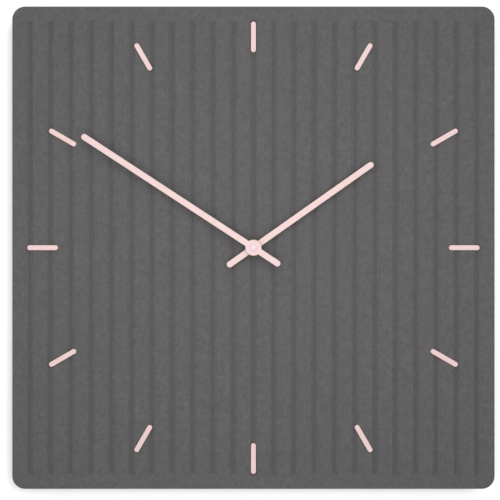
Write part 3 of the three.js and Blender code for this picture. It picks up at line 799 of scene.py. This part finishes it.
def contacts():
    """Sheet contacts. The negative one carries a conical coil spring that bears on the cell."""
    round_contact = cad_copy("contact_positive")
    round_edges(round_contact, 0.1 * MM, segments=2)
    replace("contact_positive", round_contact)

    cell_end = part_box("battery")[0].x
    axis = middle("battery")
    plate_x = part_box("contact_negative")[0].x + 0.4 * MM
    shape = cad_copy("contact_negative")
    cone = [v for v in shape.verts if v.co.x > plate_x + NEAR and (v.co - axis).yz.length < 4.2 * MM]
    bmesh.ops.delete(shape, geom=cone, context="VERTS")
    bmesh.ops.holes_fill(shape, edges=[e for e in shape.edges if e.is_boundary])
    round_edges(shape, 0.1 * MM, segments=2)
    wire = 0.28 * MM
    wide, narrow = 4.6 * MM, 2 * MM
    turns, steps = 3.2, 160
    path = []
    for i in range(steps + 1):
        share = i / steps
        angle = 2 * math.pi * turns * share
        r = wide + (narrow - wide) * share
        x = plate_x + wire + (cell_end - plate_x - 2 * wire) * share
        path.append(Vector((x, axis.y + r * math.cos(angle), axis.z + r * math.sin(angle))))
    sweep(shape, path, wire)
    replace("contact_negative", shape)


def inner_parts():
    """Everything sealed in the movement, with its edges softened."""
    done = {piece["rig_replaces"][0] for piece in bpy.data.objects if "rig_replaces" in piece}
    for node in frame["nodes"]:
        if node in done:
            continue
        shape = cad_copy(node)
        round_edges(shape, 0.04 * MM, segments=2)
        replace(node, shape)


# ---- room, light and camera ----
def plane(name, corners, material):
    shape = bmesh.new()
    shape.faces.new([shape.verts.new(corner) for corner in corners])
    mesh = bpy.data.meshes.new(name)
    shape.to_mesh(mesh)
    shape.free()
    mesh.materials.append(material)
    surface = bpy.data.objects.new(name, mesh)
    bpy.context.scene.collection.objects.link(surface)
    return surface


def wall_material():
    """Bright matte paint in front. From behind, the wall is clear, so the clock's back is in view."""
    finish = Finish("wall_paint")
    tree = finish.tree
    tree.nodes.remove(finish.shader)
    matte = finish.add("ShaderNodeBsdfDiffuse", {"Color": (0.6, 0.6, 0.6, 1.0)}).outputs["BSDF"]
    white = (1.0, 1.0, 1.0, 1.0)
    glow = finish.add("ShaderNodeEmission", {"Color": white, "Strength": 0.375}).outputs["Emission"]
    front = finish.add("ShaderNodeAddShader", {0: matte, 1: glow}).outputs["Shader"]
    clear = finish.add("ShaderNodeBsdfTransparent").outputs["BSDF"]
    facing = finish.add("ShaderNodeNewGeometry").outputs["Backfacing"]
    both = finish.add("ShaderNodeMixShader", {0: facing, 1: front, 2: clear}).outputs["Shader"]
    tree.links.new(both, tree.nodes["Material Output"].inputs["Surface"])
    return finish.material


def room():
    """A floor, and a wall that shows the clock's shadow and sends no light back to the clock."""
    reach, low, high = 8.0, -0.75, 3.0
    y = WALL_Y + 0.2 * MM
    corners = [(-reach, y, low), (reach, y, low), (reach, y, high), (-reach, y, high)]
    wall = plane("wall", corners, wall_material())
    wall.visible_shadow = False
    wall.visible_diffuse = False
    wall.visible_glossy = False
    corners = [(-reach, -reach, low), (reach, -reach, low), (reach, reach, low), (-reach, reach, low)]
    plane("floor", corners, floor_paint())
    return wall


def add_light(name, kind, place, target, energy, **settings):
    data = bpy.data.lights.new(name, kind)
    data.energy = energy
    for key, value in settings.items():
        setattr(data, key, value)
    light = bpy.data.objects.new(name, data)
    light.location = place
    light.rotation_euler = (Vector(target) - Vector(place)).to_track_quat("-Z", "Y").to_euler()
    light.visible_camera = False
    bpy.context.scene.collection.objects.link(light)
    return light


def lights(wall):
    """A pale dome, a soft light before the dial, one behind the clock, and a sun for the wall alone."""
    world = bpy.data.worlds.new("studio")
    world.use_nodes = True
    sky = world.node_tree.nodes["Background"]
    sky.inputs["Color"].default_value = (1.0, 1.0, 1.0, 1.0)
    seen = world.node_tree.nodes.new("ShaderNodeLightPath").outputs["Is Camera Ray"]
    strength = world.node_tree.nodes.new("ShaderNodeMapRange")
    strength.inputs["To Min"].default_value = 0.43
    strength.inputs["To Max"].default_value = 0.8
    world.node_tree.links.new(seen, strength.inputs["Value"])
    world.node_tree.links.new(strength.outputs["Result"], sky.inputs["Strength"])
    bpy.context.scene.world = world
    lit_at = (-0.004, FACE_Y, 0.042)
    before = (-0.004, FACE_Y - 0.32, 0.042)
    add_light("front_box", "AREA", before, lit_at, 1.07, shape="DISK", size=0.56)
    add_light("back_key", "AREA", (-1.2, 1.8, 1.2), (0, 0, 0), 24, shape="DISK", size=1.4)
    sun = add_light("wall_sun", "SUN", (0.575, -2.6, 0.47), (0, 0, 0), 1.6, angle=math.radians(12))
    wall_only = bpy.data.collections.new("wall_only")
    wall_only.objects.link(wall)
    sun.light_linking.receiver_collection = wall_only


def camera():
    """Level with the dial and square to it, with the clock a little right of and above the frame's middle."""
    distance, field = 1.0, 0.31095
    data = bpy.data.cameras.new("camera")
    data.sensor_width = 36
    data.lens = data.sensor_width * distance / field
    data.shift_x = -0.0069
    data.shift_y = -0.0046
    view = bpy.data.objects.new("camera", data)
    view.location = (0, FACE_Y - distance, 0)
    view.rotation_euler = (math.pi / 2, 0, 0)
    bpy.context.scene.collection.objects.link(view)
    bpy.context.scene.camera = view


scene = bpy.context.scene
scene.view_settings.view_transform = "Standard"
scene.view_settings.look = "None"

camera()
lights(room())
case()
markers()
hands()
hub_cap()
dial_nut()
shaft_thread()
pads()
replace("gasket", rounded_ring("gasket", 4.4 * MM, 0.25 * MM))
replace("dial_washer", rounded_ring("dial_washer", 4.15 * MM, 0.15 * MM))
hanger()
movement_shells()
setting_knob()
setting_arrow()
polarity_marks()
cover_clips()
battery()
contacts()
inner_parts()
